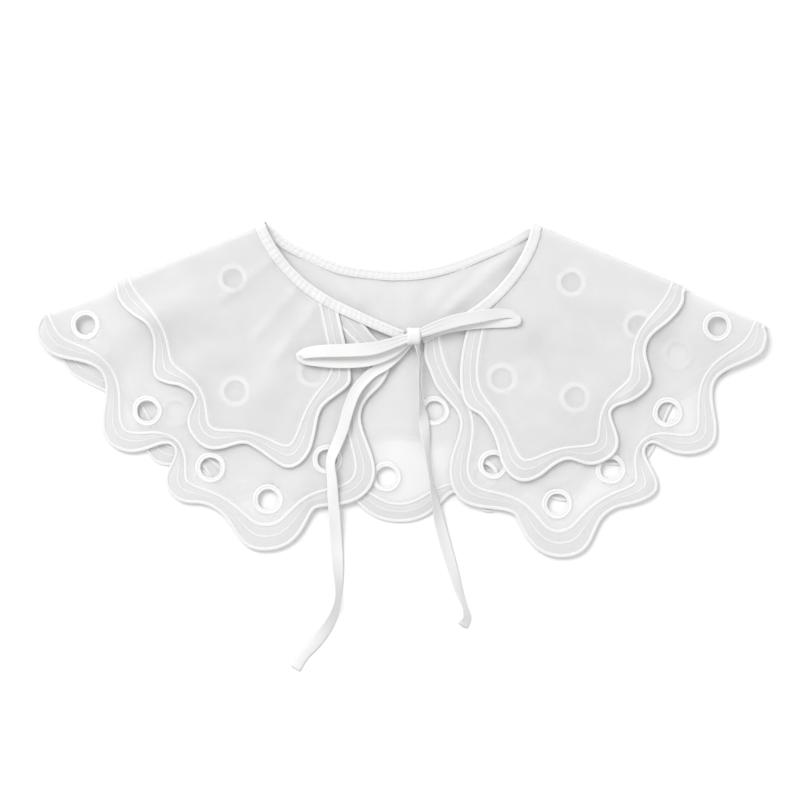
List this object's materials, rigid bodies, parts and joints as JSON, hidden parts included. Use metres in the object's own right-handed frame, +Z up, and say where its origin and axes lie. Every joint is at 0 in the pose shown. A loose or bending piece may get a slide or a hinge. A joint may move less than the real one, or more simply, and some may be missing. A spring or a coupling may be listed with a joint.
{
  "type": "embroidered false collar",
  "caption": "Two-tier false collar in sheer organza with scalloped stitched hems and cut eyelets, folded flat at the shoulders, its ribbon tied in a bow.",
  "frame": {"origin": "centre of the bounding box, on the surface that the collar lies on", "axes": "+Z up from the surface; +X from the wearer's right front to the left front as seen from above, along the longest side; +Y towards the back of the neck"},
  "size_m": [0.4795, 0.2966, 0.0141],
  "materials": {
    "organza_upper": "sheer white organza, crisp, soft sheen, satin-stitched hem",
    "organza_lower": "sheer white organza with satin-stitched hem and eyelets",
    "binding": "folded white bias binding, stitched along both edges",
    "ribbon": "narrow white ribbon, soft satin sheen"
  },
  "bodies": {
    "root": {"upper_tier_back": "organza_upper", "upper_tier_left_front": "organza_upper", "upper_tier_right_front": "organza_upper", "lower_tier_back": "organza_lower", "lower_tier_left_front": "organza_lower", "lower_tier_right_front": "organza_lower", "neck_binding_back": "binding", "neck_binding_left_front": "binding", "neck_binding_right_front": "binding", "bow_loop_left": "ribbon", "bow_loop_right": "ribbon", "bow_knot": "ribbon", "tie_tail_left": "ribbon", "tie_tail_right": "ribbon"}
  },
  "joints": []
}
